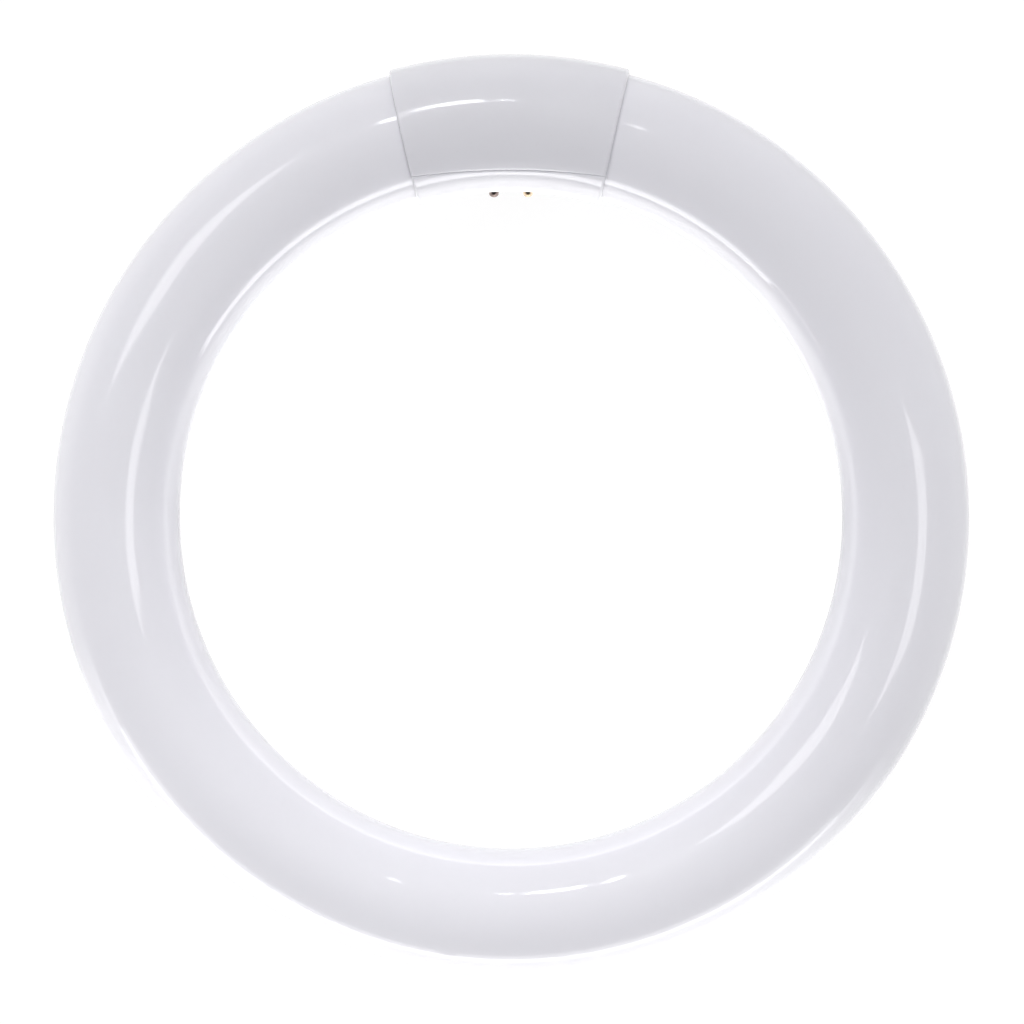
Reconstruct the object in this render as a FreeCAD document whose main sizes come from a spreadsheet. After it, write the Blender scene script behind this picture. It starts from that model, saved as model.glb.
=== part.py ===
import FreeCAD, Part
import math
import os
import Sketcher

# Circular fluorescent lamp: a bent glass tube whose two sealed ends meet inside a
# moulded cap, made of a front and a back half, with four contact pins.
# The ring lies in the XY plane around the origin and the cap is centred on +Y.
# The side that shows from below a ceiling faces +Z.

# Driving dimensions in millimetres and degrees
DIMENSIONS = (
    ("ring_radius", "90.5", "centre line of the bent tube"),
    ("glass_radius", "14.5", "outside of the glass tube"),
    ("shoulder_radius", "4", "round shoulder at each glass end"),
    ("flare_mouth_radius", "8", "open stem flare where it meets the glass end"),
    ("flare_floor_radius", "5", "stem flare at the pressed seal"),
    ("flare_depth", "8", "from the glass end down to the pressed seal"),
    ("exhaust_radius", "2.2", "exhaust tube left on each stem"),
    ("exhaust_reach", "4", "exhaust tube beyond the glass end"),
    ("exhaust_taper", "1.8", "length of its melted tip"),
    ("exhaust_tip_radius", "0.9", "blunt end of its melted tip"),
    ("cap_fit_gap", "0.25", "between the glass and the cap's bore"),
    ("cap_wall", "0.85", "wall of the cap"),
    ("cap_half_angle", "15.45", "half of the cap, seen from the ring's centre"),
    ("cap_end_slant", "12.6", "lean of the cap's end faces"),
    ("cap_edge_radius", "0.75", "rounding of the cap's end edges"),
    ("parting_angle", "47.5", "lean of the joint between the cap's halves"),
    ("parting_gap", "0.12", "open line between the cap's halves"),
    ("lip_height", "0.8", "tongue of the back half inside the front half"),
    ("lip_thickness", "0.4", "thickness of that tongue"),
    ("lip_clearance", "0.05", "around that tongue"),
    ("pin_face_sink", "2.4", "flat pin face below the cap's round"),
    ("pin_face_half_length", "11", "half of the flat pin face along the tube"),
    ("pin_floor", "1.5", "wall under the pins"),
    ("bulkhead_wall", "1", "cross wall in front of each glass end"),
    ("bulkhead_window", "8", "radius of the wire window in each cross wall"),
    ("glass_end_gap", "0.3", "between a cross wall and the glass"),
    ("pin_radius", "1.175", "contact pin"),
    ("pin_length", "6.6", "contact pin beyond the pin face"),
    ("pin_tip_rounding", "0.5", "round edge of a pin's tip"),
    ("pin_collar", "0.25", "step of the thicker stretch inside the cap's wall"),
    ("pin_bore_radius", "0.45", "bore that takes the lead wire"),
    ("pin_bore_depth", "7.6", "depth of that bore"),
    ("pin_fit_clearance", "0.04", "between a pin's collar and its hole"),
    ("pin_flange_radius", "1.9", "flange that holds a pin inside the cap"),
    ("pin_flange_thickness", "0.6", "thickness of that flange"),
    ("pin_pitch_along", "7.92", "pins apart along the tube"),
    ("pin_pitch_across", "6.35", "pins apart across the tube"),
    ("lead_radius", "0.25", "lead wire"),
    ("lead_offset", "3.4", "lead wires beside the exhaust tube"),
    ("lead_straight", "5", "lead wire straight out of the glass end"),
    ("lead_turn_distance", "4", "from the tube's centre to the bend above a pin"),
    ("lead_end_gap", "0.2", "between a lead wire's end and its bore's end"),
    ("sleeve_bore_radius", "0.4", "inside of an insulating sleeve"),
    ("sleeve_wall", "0.4", "wall of an insulating sleeve"),
    ("sleeve_start", "5", "bare wire between the pressed seal and the sleeve"),
    ("sleeve_end_gap", "0.3", "between a sleeve and its pin's flange"),
)

# Sizes that follow from the driving ones
BORE_RADIUS = "(sizes.glass_radius + sizes.cap_fit_gap)"
CAP_RADIUS = f"({BORE_RADIUS} + sizes.cap_wall)"
CORE_RADIUS = f"({BORE_RADIUS} + sizes.cap_wall / 2)"
TONGUE_RADIUS = f"({BORE_RADIUS} + sizes.lip_thickness)"
PIN_FACE = f"({CAP_RADIUS} - sizes.pin_face_sink)"
PIN_FLOOR = f"({PIN_FACE} - sizes.pin_floor)"
PIN_BASE = f"({PIN_FLOOR} - sizes.pin_flange_thickness)"
PIN_COLLAR_RADIUS = "(sizes.pin_radius + sizes.pin_collar)"
BULKHEAD_OUTSIDE = "(sizes.pin_face_half_length + sizes.bulkhead_wall)"
NECK_RADIUS = "(sizes.glass_radius - sizes.shoulder_radius)"
# The round shoulder of each glass end comes within the gap of its cross wall.
GLASS_END_ANGLE = (
    f"(asin(({BULKHEAD_OUTSIDE} + sizes.glass_end_gap + sizes.shoulder_radius)"
    f" / (sizes.ring_radius - {NECK_RADIUS})) / 1 deg)"
)
NECK_START = "(sizes.flare_depth - sizes.shoulder_radius)"

# Cutting blocks are this large, so they reach past the cap on every side.
TOOL_REACH = f"(2 * {CAP_RADIUS})"
BLANK_HALF_ANGLE = "(1.5 * sizes.cap_half_angle)"

# The cap's own frame: X along the tube, Z the way the pins point.
CAP_FRAME = (
    "placement(vector(0; sizes.ring_radius; 0);"
    " rotation(vector(1; 0; 0); 90 + sizes.parting_angle))"
)


def make_sheet(document):
    """The driving dimensions, one to a row, with a note beside each."""
    sheet = document.addObject("Spreadsheet::Sheet", "sizes")
    for row, (alias, value, note) in enumerate(DIMENSIONS, start=1):
        sheet.set(f"A{row}", note)
        sheet.set(f"B{row}", value)
        sheet.setAlias(f"B{row}", alias)
    document.recompute()
    return sheet


def number(holder, expression):
    """The present value of an expression, as a plain number."""
    result = holder.evalExpression(expression)
    return float(getattr(result, "Value", result))


def bind(feature, **expressions):
    """Tie properties of a feature to expressions on the sheet."""
    for name, expression in expressions.items():
        feature.setExpression(name, expression)
    return feature


def in_cap_frame(x, y, z):
    """Placement in the cap's own frame."""
    return f"{CAP_FRAME} * placement(vector({x}; {y}; {z}); rotation(vector(0; 0; 1); 0))"


# Sketches

# A sketch's own names for its axes and for the points of an edge
HORIZONTAL_AXIS, VERTICAL_AXIS = range(-1, -3, -1)
START_POINT, END_POINT, CENTRE_POINT = range(1, 4)


def origin_plane(body, role):
    """One of the body's own origin planes."""
    return next(item for item in body.Origin.OriginFeatures if item.Role == role)


def make_sketch(body, name, role):
    """An empty sketch on one of the body's origin planes."""
    sketch = body.newObject("Sketcher::SketchObject", name)
    sketch.AttachmentSupport = (origin_plane(body, role), [""])
    sketch.MapMode = "FlatFace"
    return sketch


def hold_size(sketch, expression, kind, *held):
    """Constrain a size of the sketch and tie it to an expression."""
    value = number(sketch, expression)
    index = sketch.addConstraint(Sketcher.Constraint(kind, *held, value))
    sketch.setExpression(f"Constraints[{index}]", expression)


def hold_start(sketch, kind, axis, edge, expression):
    """Hold one coordinate of an edge's start, on an axis or at a bound distance from it."""
    if expression == "0":
        on_axis = Sketcher.Constraint("PointOnObject", edge, START_POINT, axis)
        sketch.addConstraint(on_axis)
        return
    origin = (HORIZONTAL_AXIS, START_POINT)
    hold_size(sketch, expression, kind, *origin, edge, START_POINT)


def draw_profile(sketch, corners, arcs=None):
    """A closed outline through corners given as pairs of expressions.

    arcs maps a corner's number to the centre and radius of the arc that leaves it.
    """
    arcs = arcs or {}
    points = [
        FreeCAD.Vector(number(sketch, x), number(sketch, y), 0) for x, y in corners
    ]
    for index, start in enumerate(points):
        end = points[(index + 1) % len(points)]
        if index not in arcs:
            sketch.addGeometry(Part.LineSegment(start, end), False)
            continue
        centre_x, centre_y, radius = arcs[index]
        centre = FreeCAD.Vector(number(sketch, centre_x), number(sketch, centre_y), 0)
        first = math.atan2(start.y - centre.y, start.x - centre.x)
        last = math.atan2(end.y - centre.y, end.x - centre.x)
        circle = Part.Circle(centre, FreeCAD.Vector(0, 0, 1), number(sketch, radius))
        sketch.addGeometry(Part.ArcOfCircle(circle, first, last), False)
        hold_size(sketch, radius, "Radius", index)
    for index, (x, y) in enumerate(corners):
        following = (index + 1) % len(corners)
        meeting = Sketcher.Constraint("Coincident", index, END_POINT, following, START_POINT)
        sketch.addConstraint(meeting)
        hold_start(sketch, "DistanceX", VERTICAL_AXIS, index, x)
        hold_start(sketch, "DistanceY", HORIZONTAL_AXIS, index, y)


def revolve(body, kind, name, sketch):
    """Turn a sketch once around its own vertical axis."""
    feature = body.newObject(kind, name)
    feature.Profile = sketch
    feature.ReferenceAxis = (sketch, ["V_Axis"])
    feature.Angle = 360
    return feature


# Glass


def make_glass_tube(document):
    """The bent tube with a shoulder, a stem flare and an exhaust tube at each end."""
    body = document.addObject("PartDesign::Body", "glass_tube")

    section = make_sketch(body, "tube_section", "YZ_Plane")
    centre = FreeCAD.Vector(-number(section, "sizes.ring_radius"), 0, 0)
    radius = number(section, "sizes.glass_radius")
    circle = section.addGeometry(Part.Circle(centre, FreeCAD.Vector(0, 0, 1), radius), False)
    level = Sketcher.Constraint("PointOnObject", circle, CENTRE_POINT, HORIZONTAL_AXIS)
    section.addConstraint(level)
    origin = (HORIZONTAL_AXIS, START_POINT)
    hold_size(section, "sizes.ring_radius", "DistanceX", circle, CENTRE_POINT, *origin)
    hold_size(section, "sizes.glass_radius", "Radius", circle)

    ring = body.newObject("PartDesign::Revolution", "bent_tube")
    ring.Profile = section
    ring.ReferenceAxis = (section, ["V_Axis"])
    ring.Midplane = True
    bind(ring, Angle=f"360 - 2 * {GLASS_END_ANGLE}")

    end_features = [
        make_glass_end(body, "PartDesign::Revolution", "neck", neck_profile()),
        make_glass_end(body, "PartDesign::Groove", "flare", flare_profile()),
        make_glass_end(body, "PartDesign::Revolution", "exhaust", exhaust_profile()),
    ]
    document.recompute()

    mirror = body.newObject("PartDesign::Mirrored", "other_end")
    mirror.Originals = end_features
    mirror.MirrorPlane = (origin_plane(body, "YZ_Plane"), [""])
    body.Tip = mirror
    return body


def make_glass_end(body, kind, name, profile):
    """A feature turned around the tube's own line at the glass end on the +X side.

    The sketch stands on the floor of the stem flare and its Y points at the other end.
    """
    corners, arcs = profile
    sketch = make_sketch(body, f"{name}_profile", "XY_Plane")
    angle = f"({GLASS_END_ANGLE} * 1 deg)"
    back = NECK_START
    across = f"sizes.ring_radius * sin({angle}) + {back} * cos({angle})"
    along = f"sizes.ring_radius * cos({angle}) - {back} * sin({angle})"
    sketch.setExpression(
        "AttachmentOffset",
        f"placement(vector({across}; {along}; 0);"
        f" rotation(vector(0; 0; 1); 90 - {GLASS_END_ANGLE}))",
    )
    draw_profile(sketch, corners, arcs)
    return revolve(body, kind, name, sketch)


def neck_profile():
    """Round shoulder from the full tube down to the glass end."""
    corners = (
        ("0", NECK_START),
        ("sizes.glass_radius", NECK_START),
        (NECK_RADIUS, "sizes.flare_depth"),
        ("0", "sizes.flare_depth"),
    )
    return corners, {1: (NECK_RADIUS, NECK_START, "sizes.shoulder_radius")}


def flare_profile():
    """Open cone around the exhaust tube."""
    corners = (
        ("sizes.exhaust_radius", "0"),
        ("sizes.flare_floor_radius", "0"),
        ("sizes.flare_mouth_radius", "sizes.flare_depth"),
        ("sizes.exhaust_radius", "sizes.flare_depth"),
    )
    return corners, {}


def exhaust_profile():
    """Exhaust tube with its melted tip."""
    taper_start = "(sizes.flare_depth + sizes.exhaust_reach - sizes.exhaust_taper)"
    tip = "(sizes.flare_depth + sizes.exhaust_reach)"
    corners = (
        ("0", "sizes.flare_depth"),
        ("sizes.exhaust_radius", "sizes.flare_depth"),
        ("sizes.exhaust_radius", taper_start),
        ("sizes.exhaust_tip_radius", tip),
        ("0", tip),
    )
    return corners, {}


# Cap


def ring_segment(document, name, radius, half_angle=BLANK_HALF_ANGLE):
    """A stretch of round tube along the ring, centred on the cap."""
    segment = document.addObject("Part::Torus", name)
    bind(
        segment,
        Radius1="sizes.ring_radius",
        Radius2=radius,
        Angle3=f"2 * {half_angle}",
        Placement=(
            "placement(vector(0; 0; 0);"
            f" rotation(vector(0; 0; 1); 90 - {half_angle}))"
        ),
    )
    return segment


def cap_block(document, name, x_range, z_range, half_width=TOOL_REACH):
    """A block in the cap's own frame, between two X and two Z values."""
    block = document.addObject("Part::Box", name)
    low_x, high_x = x_range
    low_z, high_z = z_range
    bind(
        block,
        Length=f"{high_x} - ({low_x})",
        Width=f"2 * {half_width}",
        Height=f"{high_z} - ({low_z})",
        Placement=in_cap_frame(low_x, f"-{half_width}", low_z),
    )
    return block


def end_block(document, name, side):
    """A block whose face is the cap's end face, on the +X or the -X side."""
    block = document.addObject("Part::Box", name)
    slant = f"({-side} * sizes.cap_end_slant)"
    end_x = f"{side} * sizes.ring_radius * sin(sizes.cap_half_angle * 1 deg)"
    end_y = "sizes.ring_radius * cos(sizes.cap_half_angle * 1 deg)"
    low_x = "0" if side > 0 else f"-{TOOL_REACH}"
    bind(
        block,
        Length=TOOL_REACH,
        Width=f"2 * {TOOL_REACH}",
        Height=f"2 * {TOOL_REACH}",
        Placement=(
            f"placement(vector({end_x}; {end_y}; 0); rotation(vector(0; 0; 1); {slant}))"
            f" * placement(vector({low_x}; -{TOOL_REACH}; -{TOOL_REACH});"
            " rotation(vector(0; 0; 1); 0))"
        ),
    )
    return block


def join(document, name, *pieces):
    """Pieces fused into one."""
    fused = document.addObject("Part::MultiFuse", name)
    fused.Shapes = list(pieces)
    fused.Refine = False
    return fused


def overlap(document, name, *pieces):
    """What all the pieces share."""
    common = document.addObject("Part::MultiCommon", name)
    common.Shapes = list(pieces)
    common.Refine = False
    return common


def cut(document, name, base, tool):
    """A base with a tool taken away."""
    rest = document.addObject("Part::Cut", name)
    rest.Base = base
    rest.Tool = tool
    rest.Refine = False
    return rest


def make_rounded_blank(document, sheet):
    """Solid stretch of the cap's outer form, with slanted ends and soft end edges."""
    blank = ring_segment(document, "cap_blank", CAP_RADIUS)
    ends = join(
        document,
        "cap_ends",
        end_block(document, "right_end_block", 1),
        end_block(document, "left_end_block", -1),
    )
    trimmed = cut(document, "trimmed_blank", blank, ends)
    document.recompute()

    rounding = sheet.get("cap_edge_radius")
    rounded = document.addObject("Part::Fillet", "rounded_blank")
    rounded.Base = trimmed
    rounded.Edges = [
        (index, rounding, rounding)
        for index, edge in enumerate(trimmed.Shape.Edges, start=1)
        if borders_a_flat_end(trimmed.Shape, edge)
    ]
    return rounded


def borders_a_flat_end(shape, edge):
    """True for an edge of one of the two flat end faces."""
    flats = [face for face in shape.Faces if isinstance(face.Surface, Part.Plane)]
    return any(own.isSame(edge) for face in flats for own in face.Edges)


def make_inner_walls(document):
    """Two cross walls with wire windows, and the floor that carries the pins."""
    half_length = "sizes.pin_face_half_length"
    walls = join(
        document,
        "wall_blocks",
        cap_block(
            document,
            "right_cross_wall",
            (half_length, BULKHEAD_OUTSIDE),
            (f"-{TOOL_REACH}", TOOL_REACH),
        ),
        cap_block(
            document,
            "left_cross_wall",
            (f"-{BULKHEAD_OUTSIDE}", f"-{half_length}"),
            (f"-{TOOL_REACH}", TOOL_REACH),
        ),
        cap_block(
            document,
            "pin_floor_block",
            (f"-{BULKHEAD_OUTSIDE}", BULKHEAD_OUTSIDE),
            (PIN_FLOOR, TOOL_REACH),
        ),
    )
    core = ring_segment(document, "cap_core", CORE_RADIUS)
    closed_walls = overlap(document, "closed_walls", core, walls)
    window = document.addObject("Part::Cylinder", "wire_window")
    bind(
        window,
        Radius="sizes.bulkhead_window",
        Height=f"2 * {TOOL_REACH}",
        Placement=(
            f"placement(vector(-{TOOL_REACH}; sizes.ring_radius; 0);"
            " rotation(vector(0; 1; 0); 90))"
        ),
    )
    return cut(document, "inner_walls", closed_walls, window)


def make_whole_cap(document, sheet):
    """Both halves of the cap in one, before they part."""
    bore = ring_segment(document, "glass_bore", BORE_RADIUS)
    shell = cut(document, "cap_shell", make_rounded_blank(document, sheet), bore)
    walled = join(document, "walled_shell", shell, make_inner_walls(document))
    notch = cap_block(
        document,
        "pin_face_notch",
        ("-sizes.pin_face_half_length", "sizes.pin_face_half_length"),
        (PIN_FACE, TOOL_REACH),
    )
    return cut(document, "whole_cap", walled, notch)


def pin_positions():
    """The four pins as signs along and across the tube, by name."""
    return (
        ("left_inner", -1, 1),
        ("right_inner", 1, 1),
        ("left_outer", -1, -1),
        ("right_outer", 1, -1),
    )


def pin_place(along, across, height):
    """Placement of something on a pin's line, at a height from the tube's centre."""
    return in_cap_frame(
        f"{along} * sizes.pin_pitch_along / 2",
        f"{across} * sizes.pin_pitch_across / 2",
        height,
    )


def make_front_shell(document, whole_cap):
    """Outer front half: what lies before the joint, less room for the tongue."""
    full_x = (f"-{TOOL_REACH}", TOOL_REACH)
    behind = cap_block(document, "behind_joint", full_x, ("-sizes.parting_gap", TOOL_REACH))
    groove = overlap(
        document,
        "tongue_groove",
        ring_segment(document, "groove_ring", f"({TONGUE_RADIUS} + sizes.lip_clearance)"),
        cap_block(
            document,
            "groove_slab",
            full_x,
            ("-(sizes.lip_height + sizes.lip_clearance)", "0"),
        ),
    )
    taken = join(document, "front_shell_taken", behind, groove)
    return cut(document, "cap_front_shell", whole_cap, taken)


def make_back_shell(document, whole_cap):
    """Inner back half with its tongue, its flat pin face and the four pin holes."""
    full_x = (f"-{TOOL_REACH}", TOOL_REACH)
    tongue = overlap(
        document,
        "tongue",
        ring_segment(document, "tongue_ring", TONGUE_RADIUS),
        cap_block(document, "tongue_slab", full_x, ("-sizes.lip_height", "sizes.lip_height")),
    )
    before = cap_block(document, "before_joint", full_x, (f"-{TOOL_REACH}", "0"))
    taken = cut(document, "back_shell_taken", before, tongue)
    pinless = cut(document, "pinless_back_shell", whole_cap, taken)
    holes = []
    for name, along, across in pin_positions():
        hole = document.addObject("Part::Cylinder", f"hole_{name}")
        bind(
            hole,
            Radius=f"{PIN_COLLAR_RADIUS} + sizes.pin_fit_clearance",
            Height=TOOL_REACH,
            Placement=pin_place(along, across, PIN_BASE),
        )
        holes.append(hole)
    return cut(document, "cap_back_shell", pinless, join(document, "pin_holes", *holes))


# Contacts


def make_pin(document, name, along, across):
    """Hollow contact pin with a flange, a collar in its hole and a rounded tip."""
    body = document.addObject("PartDesign::Body", f"contact_pin_{name}")
    sketch = make_sketch(body, f"pin_profile_{name}", "XZ_Plane")
    face = "(sizes.pin_flange_thickness + sizes.pin_floor)"
    tip = f"({face} + sizes.pin_length)"
    below_tip = f"({tip} - sizes.pin_tip_rounding)"
    inside_tip = "(sizes.pin_radius - sizes.pin_tip_rounding)"
    corners = (
        ("sizes.pin_bore_radius", "0"),
        ("sizes.pin_flange_radius", "0"),
        ("sizes.pin_flange_radius", "sizes.pin_flange_thickness"),
        (PIN_COLLAR_RADIUS, "sizes.pin_flange_thickness"),
        (PIN_COLLAR_RADIUS, face),
        ("sizes.pin_radius", face),
        ("sizes.pin_radius", below_tip),
        (inside_tip, tip),
        ("0", tip),
        ("0", "sizes.pin_bore_depth"),
        ("sizes.pin_bore_radius", "sizes.pin_bore_depth"),
    )
    draw_profile(sketch, corners, {6: (inside_tip, below_tip, "sizes.pin_tip_rounding")})
    revolve(body, "PartDesign::Revolution", f"pin_turned_{name}", sketch)
    bind(body, Placement=pin_place(along, across, PIN_BASE))
    return body


def lead_route(sheet, along, across):
    """Corners of a lead wire's route, from the pressed seal into its pin's bore."""
    turn = math.radians(number(sheet, GLASS_END_ANGLE))
    outward = FreeCAD.Vector(along * math.sin(turn), math.cos(turn), 0)
    inward_line = FreeCAD.Vector(-along * math.cos(turn), math.sin(turn), 0)
    seal = outward * sheet.get("ring_radius") - inward_line * number(sheet, NECK_START)
    lean = math.radians(sheet.get("parting_angle"))
    sideways = outward * -math.sin(lean) + FreeCAD.Vector(0, 0, math.cos(lean))
    seal = seal + sideways * (across * sheet.get("lead_offset"))
    leaving = sheet.get("flare_depth") + sheet.get("lead_straight")

    pin_line = sheet.evalExpression(pin_place(along, across, "0"))
    above_pin = pin_line.multVec(FreeCAD.Vector(0, 0, sheet.get("lead_turn_distance")))
    wire_end = number(sheet, f"{PIN_BASE} + sizes.pin_bore_depth - sizes.lead_end_gap")
    in_pin = pin_line.multVec(FreeCAD.Vector(0, 0, wire_end))
    return [seal, seal + inward_line * leaving, above_pin, in_pin]


def route_path(corners, skipped_start=0, skipped_end=0):
    """Straight runs joined by tangent arcs, as wide as the shorter run allows.

    The first and the last run may be cut short, with the arcs as they are.
    """
    share_of_run = 0.45
    first_run = corners[1] - corners[0]
    last_run = corners[-1] - corners[-2]
    edges = []
    last = corners[0] + first_run * (skipped_start / first_run.Length)
    end = corners[-1] - last_run * (skipped_end / last_run.Length)
    for before, corner, after in zip(corners, corners[1:], corners[2:]):
        towards = (before - corner).normalize()
        onwards = (after - corner).normalize()
        shorter = min((before - corner).Length, (after - corner).Length)
        half_turn = (math.pi - towards.getAngle(onwards)) / 2
        setback = share_of_run * shorter
        radius = setback / math.tan(half_turn)
        first = corner + towards * setback
        second = corner + onwards * setback
        middle_line = (towards + onwards).normalize()
        middle = corner + middle_line * (radius / math.cos(half_turn) - radius)
        edges.append(Part.LineSegment(last, first).toShape())
        edges.append(Part.Arc(first, middle, second).toShape())
        last = second
    edges.append(Part.LineSegment(last, end).toShape())
    return Part.Wire(edges)


def swept_round(path, radius):
    """A round bar along a path."""
    first_edge = path.OrderedEdges[0]
    start = first_edge.valueAt(first_edge.FirstParameter)
    direction = first_edge.tangentAt(first_edge.FirstParameter)
    profile = Part.Wire([Part.Circle(start, direction, radius).toShape()])
    make_solid = True
    is_frenet = False
    return path.makePipeShell([profile], make_solid, is_frenet)


def make_lead(document, sheet, name, along, across):
    """Bare lead wire from the pressed seal into its pin's bore."""
    path = route_path(lead_route(sheet, along, across))
    lead = document.addObject("Part::Feature", f"lead_wire_{name}")
    lead.Shape = swept_round(path, sheet.get("lead_radius"))
    return lead


def make_sleeve(document, sheet, name, along, across):
    """Insulating sleeve over the wire, from inside the flare to the pin's flange."""
    in_bore = number(sheet, "sizes.pin_bore_depth - sizes.lead_end_gap")
    skipped_end = in_bore + sheet.get("sleeve_end_gap")
    route = lead_route(sheet, along, across)
    path = route_path(route, sheet.get("sleeve_start"), skipped_end)
    bore = sheet.get("sleeve_bore_radius")
    outside = swept_round(path, bore + sheet.get("sleeve_wall"))
    sleeve = document.addObject("Part::Feature", f"lead_sleeve_{name}")
    sleeve.Shape = outside.cut(swept_round(path, bore))
    return sleeve


def check(document, parts):
    """Stop if any object failed or any piece is not one sound solid."""
    for item in document.Objects:
        if "Invalid" in item.State or "Error" in item.State:
            raise RuntimeError(f"{item.Label} failed: {item.State}")
    for part in parts:
        shape = part.Shape
        if shape.isNull() or not shape.isValid() or len(shape.Solids) != 1:
            raise RuntimeError(f"{part.Label} is not one sound solid")


def main():
    document = FreeCAD.newDocument("circular_lamp")
    sheet = make_sheet(document)
    whole_cap = make_whole_cap(document, sheet)
    parts = [
        make_glass_tube(document),
        make_front_shell(document, whole_cap),
        make_back_shell(document, whole_cap),
    ]
    for name, along, across in pin_positions():
        parts.append(make_pin(document, name, along, across))
        parts.append(make_lead(document, sheet, name, along, across))
        parts.append(make_sleeve(document, sheet, name, along, across))
    document.recompute()
    check(document, parts)

    os.makedirs("parts", exist_ok=True)
    for part in parts:
        part.Shape.exportStep(f"parts/{part.Label}.step")
        volume = round(part.Shape.Volume, 3)
        print(part.Label, "volume", volume, "faces", len(part.Shape.Faces), flush=True)


main()
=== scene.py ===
import math

import bmesh
import bpy
from mathutils import Matrix, Vector


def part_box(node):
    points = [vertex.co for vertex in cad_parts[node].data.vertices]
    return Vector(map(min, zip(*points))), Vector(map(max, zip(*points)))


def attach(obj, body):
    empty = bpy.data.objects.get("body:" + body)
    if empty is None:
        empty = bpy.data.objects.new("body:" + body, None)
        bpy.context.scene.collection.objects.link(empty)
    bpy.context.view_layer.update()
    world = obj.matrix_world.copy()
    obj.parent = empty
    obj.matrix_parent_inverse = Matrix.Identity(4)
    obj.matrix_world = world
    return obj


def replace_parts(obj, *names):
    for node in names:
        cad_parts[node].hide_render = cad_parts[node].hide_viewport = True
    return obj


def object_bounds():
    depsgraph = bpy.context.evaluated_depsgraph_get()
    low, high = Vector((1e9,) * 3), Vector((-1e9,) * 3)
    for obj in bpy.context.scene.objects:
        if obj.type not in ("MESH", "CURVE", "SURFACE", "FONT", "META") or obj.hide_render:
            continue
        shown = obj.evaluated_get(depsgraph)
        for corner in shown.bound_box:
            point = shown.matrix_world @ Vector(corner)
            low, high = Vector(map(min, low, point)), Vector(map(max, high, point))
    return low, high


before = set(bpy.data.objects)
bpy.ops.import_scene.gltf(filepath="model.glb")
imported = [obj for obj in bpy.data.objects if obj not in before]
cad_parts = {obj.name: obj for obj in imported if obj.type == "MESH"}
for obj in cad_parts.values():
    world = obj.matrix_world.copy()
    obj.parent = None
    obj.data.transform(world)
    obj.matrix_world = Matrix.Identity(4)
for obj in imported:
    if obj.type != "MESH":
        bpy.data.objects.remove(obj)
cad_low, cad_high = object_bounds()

# A circular fluorescent lamp, lying with the side towards the viewer that shows
# from below a ceiling. The ring lies in the XY plane around the origin, its cap is
# centred on +Y, and the four contact pins point inwards and down.

MM = 0.001

# Glass, in metres
GLASS_LOW, GLASS_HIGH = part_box("glass_tube")
GLASS_RADIUS = (GLASS_HIGH.z - GLASS_LOW.z) / 2
RING_RADIUS = (GLASS_HIGH.x - GLASS_LOW.x) / 2 - GLASS_RADIUS
HOLE_RADIUS = RING_RADIUS - GLASS_RADIUS
RIM_RADIUS = RING_RADIUS + GLASS_RADIUS
SHOULDER_RADIUS = 4 * MM
FLARE_MOUTH_RADIUS = 8 * MM
FLARE_FLOOR_RADIUS = 5 * MM
FLARE_DEPTH = 8 * MM
EXHAUST_RADIUS = 2.2 * MM
EXHAUST_REACH = 4 * MM
EXHAUST_TAPER = 1.8 * MM
EXHAUST_TIP_RADIUS = 0.9 * MM
GLASS_END_GAP = 0.3 * MM

# Cap
CAP_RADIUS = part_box("cap_front_shell")[1].y - RING_RADIUS
CAP_WALL = 0.85 * MM
BORE_RADIUS = CAP_RADIUS - CAP_WALL
CAP_HALF_ANGLE = math.radians(15.45)
CAP_END_SLANT = math.radians(12.6)
CAP_EDGE_RADIUS = 0.75 * MM
PARTING_ANGLE = math.radians(47.5)
PARTING_GAP = 0.12 * MM
PARTING_EDGE_RADIUS = 0.28 * MM
LIP_HEIGHT = 0.8 * MM
LIP_THICKNESS = 0.4 * MM
LIP_CLEARANCE = 0.05 * MM
PIN_FACE = CAP_RADIUS - 2.4 * MM
PIN_FLOOR = PIN_FACE - 1.5 * MM
PIN_FACE_HALF_LENGTH = 11 * MM
BULKHEAD_OUTSIDE = PIN_FACE_HALF_LENGTH + 1 * MM
BULKHEAD_WINDOW = 8 * MM

# Contact pins
PIN_RADIUS = 1.175 * MM
PIN_LENGTH = 6.6 * MM
PIN_TIP_ROUNDING = 0.5 * MM
PIN_COLLAR_RADIUS = PIN_RADIUS + 0.25 * MM
PIN_FIT_CLEARANCE = 0.04 * MM
PIN_CRIMP_FROM_TIP = 1.9 * MM
PIN_CRIMP_RADIUS = 0.8 * MM
PIN_CRIMP_DEPTH = 0.28 * MM
PIN_BORE_RADIUS = 0.45 * MM
PIN_BORE_DEPTH = 7.6 * MM
PIN_FLANGE_RADIUS = 1.9 * MM
PIN_FLANGE_THICKNESS = 0.6 * MM
PIN_PITCH_ALONG = 7.92 * MM
PIN_PITCH_ACROSS = 6.35 * MM
PINS = {
    "left_inner": (-1, 1),
    "right_inner": (1, 1),
    "left_outer": (-1, -1),
    "right_outer": (1, -1),
}

# The cap's own frame: X along the tube, Z the way the pins point
CAP_FRAME = Matrix.Translation((0, RING_RADIUS, 0)) @ Matrix.Rotation(
    math.radians(90) + PARTING_ANGLE, 4, "X"
)

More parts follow.
